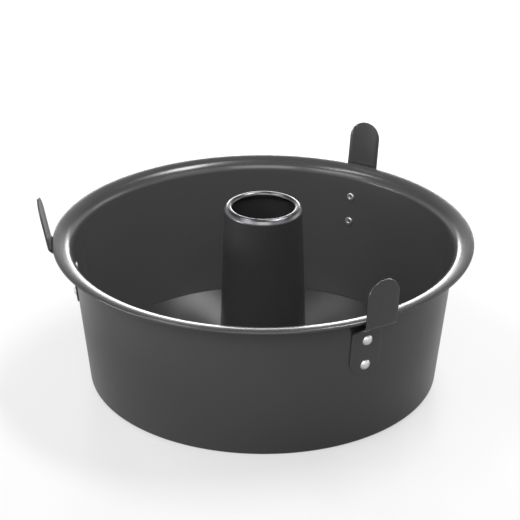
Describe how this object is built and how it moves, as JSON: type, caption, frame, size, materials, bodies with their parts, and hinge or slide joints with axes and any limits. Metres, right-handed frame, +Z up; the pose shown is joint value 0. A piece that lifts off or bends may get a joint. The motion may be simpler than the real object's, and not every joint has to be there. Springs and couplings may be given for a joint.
{
  "type": "angel food cake pan",
  "caption": "Flared tube cake pan with a rolled rim, riveted cooling feet and a lift-out base that carries a tapered centre tube.",
  "frame": {"origin": "centre of the flat foot ring, on the table", "axes": "+Z up along the tube's axis, -Y towards the picture's viewer, +X to the picture's right"},
  "size_m": [0.29, 0.281, 0.1311],
  "materials": {
    "coated_steel": "satin dark grey non-stick coating on steel sheet",
    "rivet_metal": "bare satin aluminium"
  },
  "bodies": {
    "ring": {"pan_wall": "coated_steel", "leg_left": "coated_steel", "leg_front": "coated_steel", "leg_back": "coated_steel", "rivet_left_upper": "rivet_metal", "rivet_left_lower": "rivet_metal", "rivet_front_upper": "rivet_metal", "rivet_front_lower": "rivet_metal", "rivet_back_upper": "rivet_metal", "rivet_back_lower": "rivet_metal"},
    "insert": {"base_plate": "coated_steel", "center_tube": "coated_steel"}
  },
  "joints": [
    {"name": "insert_lift", "type": "slide", "parent": "ring", "child": "insert", "axis": [0, 0, 1], "range_m": [0, 0.15]}
  ]
}
